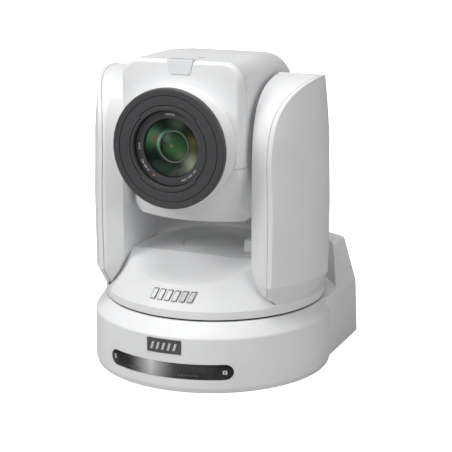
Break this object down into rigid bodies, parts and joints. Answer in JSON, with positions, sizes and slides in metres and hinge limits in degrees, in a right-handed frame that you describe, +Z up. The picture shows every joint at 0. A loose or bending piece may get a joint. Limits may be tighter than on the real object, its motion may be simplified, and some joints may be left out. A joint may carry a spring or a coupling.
{
  "type": "ptz camera",
  "caption": "Remote pan, tilt and zoom camera head on a round base, with two swept side arms, a large lens collar, a status window and a connector recess behind.",
  "frame": {"origin": "centre of the footprint's box, on the plane of the rubber feet", "axes": "+Z up, -Y is the way the lens looks at rest, +X to the right as seen from the front"},
  "size_m": [0.216, 0.2374, 0.2806],
  "materials": {
    "cover_white": "fine-textured satin white moulding",
    "collar_white": "smooth satin white moulding",
    "window_black": "glossy smoked black",
    "lens_grey": "satin dark grey anodised look",
    "trim_black": "matte black",
    "trim_grey": "satin grey plate",
    "lamp_lens": "translucent milky lamp lens",
    "optics": "coated optical glass",
    "steel": "zinc-plated sheet steel",
    "machined": "machined light alloy",
    "brass": "cut brass",
    "board": "solder-masked circuit board",
    "foot_rubber": "soft black rubber"
  },
  "bodies": {
    "base": {"base_shell": "cover_white", "base_plate": "steel", "foot_front_left": "foot_rubber", "foot_front_right": "foot_rubber", "foot_rear_left": "foot_rubber", "foot_rear_right": "foot_rubber", "tripod_bush": "machined", "status_window": "window_black", "model_plate": "trim_grey", "pan_seal": "trim_black", "pan_bearing": "steel", "main_board": "board", "power_board": "board", "pan_motor": "trim_black", "connector_panel": "trim_grey", "lan_jack": "steel", "control_jack": "steel", "hdmi_socket": "steel", "sdi_post": "machined", "sync_post": "machined", "power_inlet": "trim_black", "fan_frame": "trim_black"},
    "pan_pinion": {"pan_pinion": "brass"},
    "fan": {"fan_rotor": "trim_black"},
    "mode_dial": {"mode_dial": "trim_black"},
    "output_switch": {"output_switch": "collar_white"},
    "reset_button": {"reset_button": "trim_grey"},
    "turntable": {"turntable_shell": "cover_white", "deck_cap": "cover_white", "front_emblem": "trim_grey", "deck_block": "cover_white", "turntable_plate": "steel", "pan_hub": "machined", "pan_gear": "machined", "left_arm_housing": "cover_white", "left_arm_cover": "cover_white", "left_upright": "steel", "left_tilt_bearing": "steel", "right_arm_housing": "cover_white", "right_arm_cover": "cover_white", "right_upright": "steel", "right_tilt_bearing": "steel", "tilt_motor": "trim_black"},
    "tilt_pinion": {"tilt_pinion": "brass"},
    "head": {"head_upper_shell": "cover_white", "head_lower_shell": "cover_white", "front_panel": "cover_white", "tally_lamp": "lamp_lens", "head_chassis": "steel", "left_tilt_shaft": "machined", "right_tilt_shaft": "machined", "tilt_gear": "machined", "lens_collar": "collar_white", "lens_ring": "lens_grey", "lens_barrel": "trim_black", "front_lens": "optics", "image_board": "board"},
    "zoom_group": {"zoom_carriage": "trim_black"},
    "focus_group": {"focus_carriage": "trim_black"},
    "filter_turret": {"filter_wheel": "trim_black"}
  },
  "joints": [
    {"name": "pan", "type": "hinge", "parent": "base", "child": "turntable", "pos_m": [0, -0.00625, 0.062], "axis": [0, 0, 1], "range_deg": [-170, 170]},
    {"name": "tilt", "type": "hinge", "parent": "turntable", "child": "head", "pos_m": [0, -0.03625, 0.205], "axis": [-1, 0, 0], "range_deg": [-30, 90]},
    {"name": "pan_pinion_spin", "type": "hinge", "parent": "base", "child": "pan_pinion", "pos_m": [-0.03513, -0.04112, 0.047], "axis": [0, 0, 1], "range_deg": [-765, 765]},
    {"name": "tilt_pinion_spin", "type": "hinge", "parent": "turntable", "child": "tilt_pinion", "pos_m": [0.0755, -0.02091, 0.1741], "axis": [-1, 0, 0], "range_deg": [-255, 85]},
    {"name": "zoom_slide", "type": "slide", "parent": "head", "child": "zoom_group", "axis": [0, 1, 0], "range_m": [-0.012, 0.012]},
    {"name": "focus_slide", "type": "slide", "parent": "head", "child": "focus_group", "axis": [0, 1, 0], "range_m": [-0.005, 0.005]},
    {"name": "filter_turn", "type": "hinge", "parent": "head", "child": "filter_turret", "pos_m": [0.016, -0.03075, 0.209], "axis": [0, 1, 0], "range_deg": [0, 270]},
    {"name": "fan_spin", "type": "hinge", "parent": "base", "child": "fan", "pos_m": [-0.04, 0.05575, 0.033], "axis": [0, 0, 1], "continuous": true},
    {"name": "mode_dial_turn", "type": "hinge", "parent": "base", "child": "mode_dial", "pos_m": [-0.037, 0.08875, 0.031], "axis": [0, 1, 0], "range_deg": [0, 270]},
    {"name": "output_switch_slide", "type": "slide", "parent": "base", "child": "output_switch", "axis": [1, 0, 0], "range_m": [0, 0.005]},
    {"name": "reset_press", "type": "slide", "parent": "base", "child": "reset_button", "axis": [0, -1, 0], "range_m": [0, 0.0012], "stiffness_N_per_m": 400, "springref_m": -0.001}
  ],
  "couplings": [
    {"joint": "pan_pinion_spin", "follows": "pan", "ratio": -4.5},
    {"joint": "tilt_pinion_spin", "follows": "tilt", "ratio": -2.8333}
  ]
}
